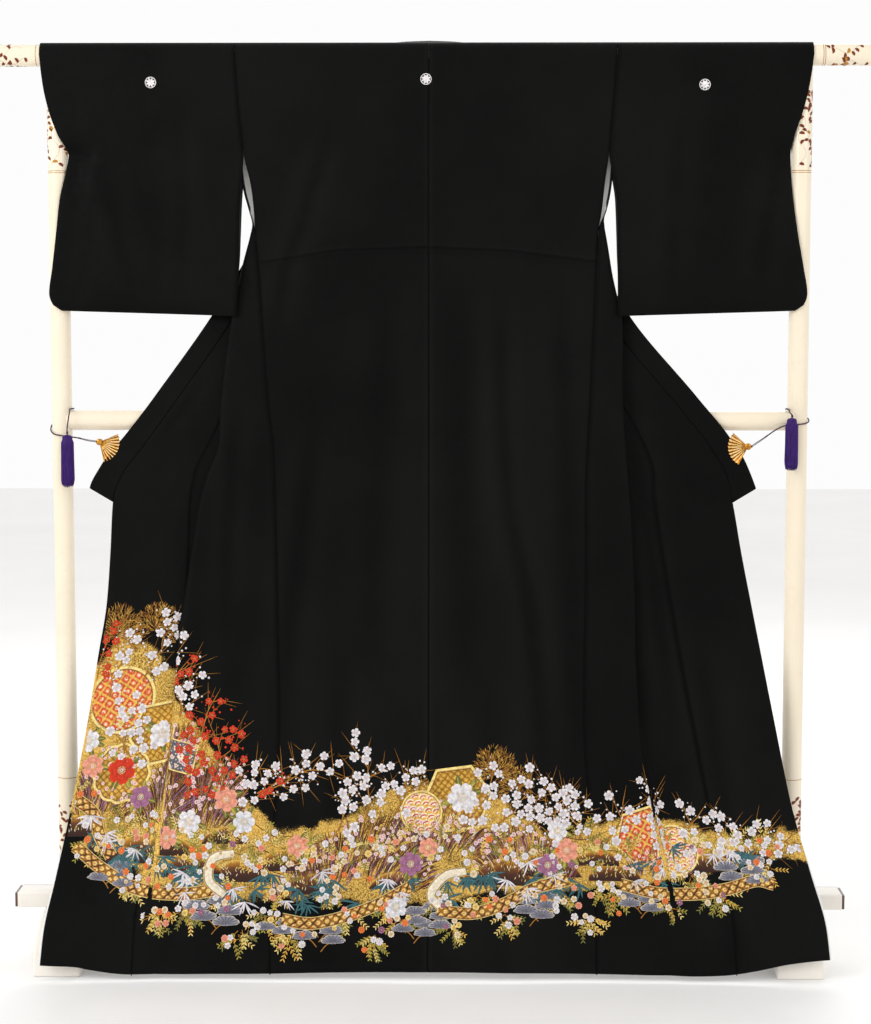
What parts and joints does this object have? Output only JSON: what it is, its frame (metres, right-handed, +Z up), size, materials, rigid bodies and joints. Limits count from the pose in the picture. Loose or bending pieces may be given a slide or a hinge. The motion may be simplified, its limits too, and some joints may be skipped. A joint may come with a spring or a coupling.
{
  "type": "formal kimono on a display stand",
  "caption": "Black formal kimono with a decorated hem, hung open by its shoulders over a lacquered display stand, back outward.",
  "frame": {"origin": "on the floor under the middle of the top rail, within 10 mm of the middle of the bounding box's base", "axes": "+X along the top rail, to the right when looking at the kimono's back; +Y away from the kimono's back, towards its open front; +Z up"},
  "size_m": [1.5786, 0.3135, 1.6006],
  "materials": {
    "black_silk": "fine crepe silk, matt with a soft sheen",
    "white_lining": "plain white silk",
    "cream_lacquer": "gloss cream lacquer",
    "dark_lacquer": "gloss dark brown lacquer",
    "gold_metal": "satin gilt",
    "purple_silk": "twisted silk"
  },
  "bodies": {
    "root": {"body_left": "black_silk", "body_right": "black_silk", "overlap_left": "black_silk", "overlap_right": "black_silk", "sleeve_left": "black_silk", "sleeve_right": "black_silk", "collar": "black_silk", "underlayer_left": "white_lining", "underlayer_right": "white_lining", "rod": "cream_lacquer", "middle_bar": "cream_lacquer", "beam": "cream_lacquer", "post_left": "cream_lacquer", "post_right": "cream_lacquer", "foot_left": "cream_lacquer", "foot_right": "cream_lacquer", "rod_cap_left": "dark_lacquer", "rod_cap_right": "dark_lacquer", "beam_cap_left": "dark_lacquer", "beam_cap_right": "dark_lacquer", "clip_left": "gold_metal", "clip_right": "gold_metal", "clip_cord_left": "purple_silk", "clip_cord_right": "purple_silk", "tassel_left": "purple_silk", "tassel_right": "purple_silk"}
  },
  "joints": []
}
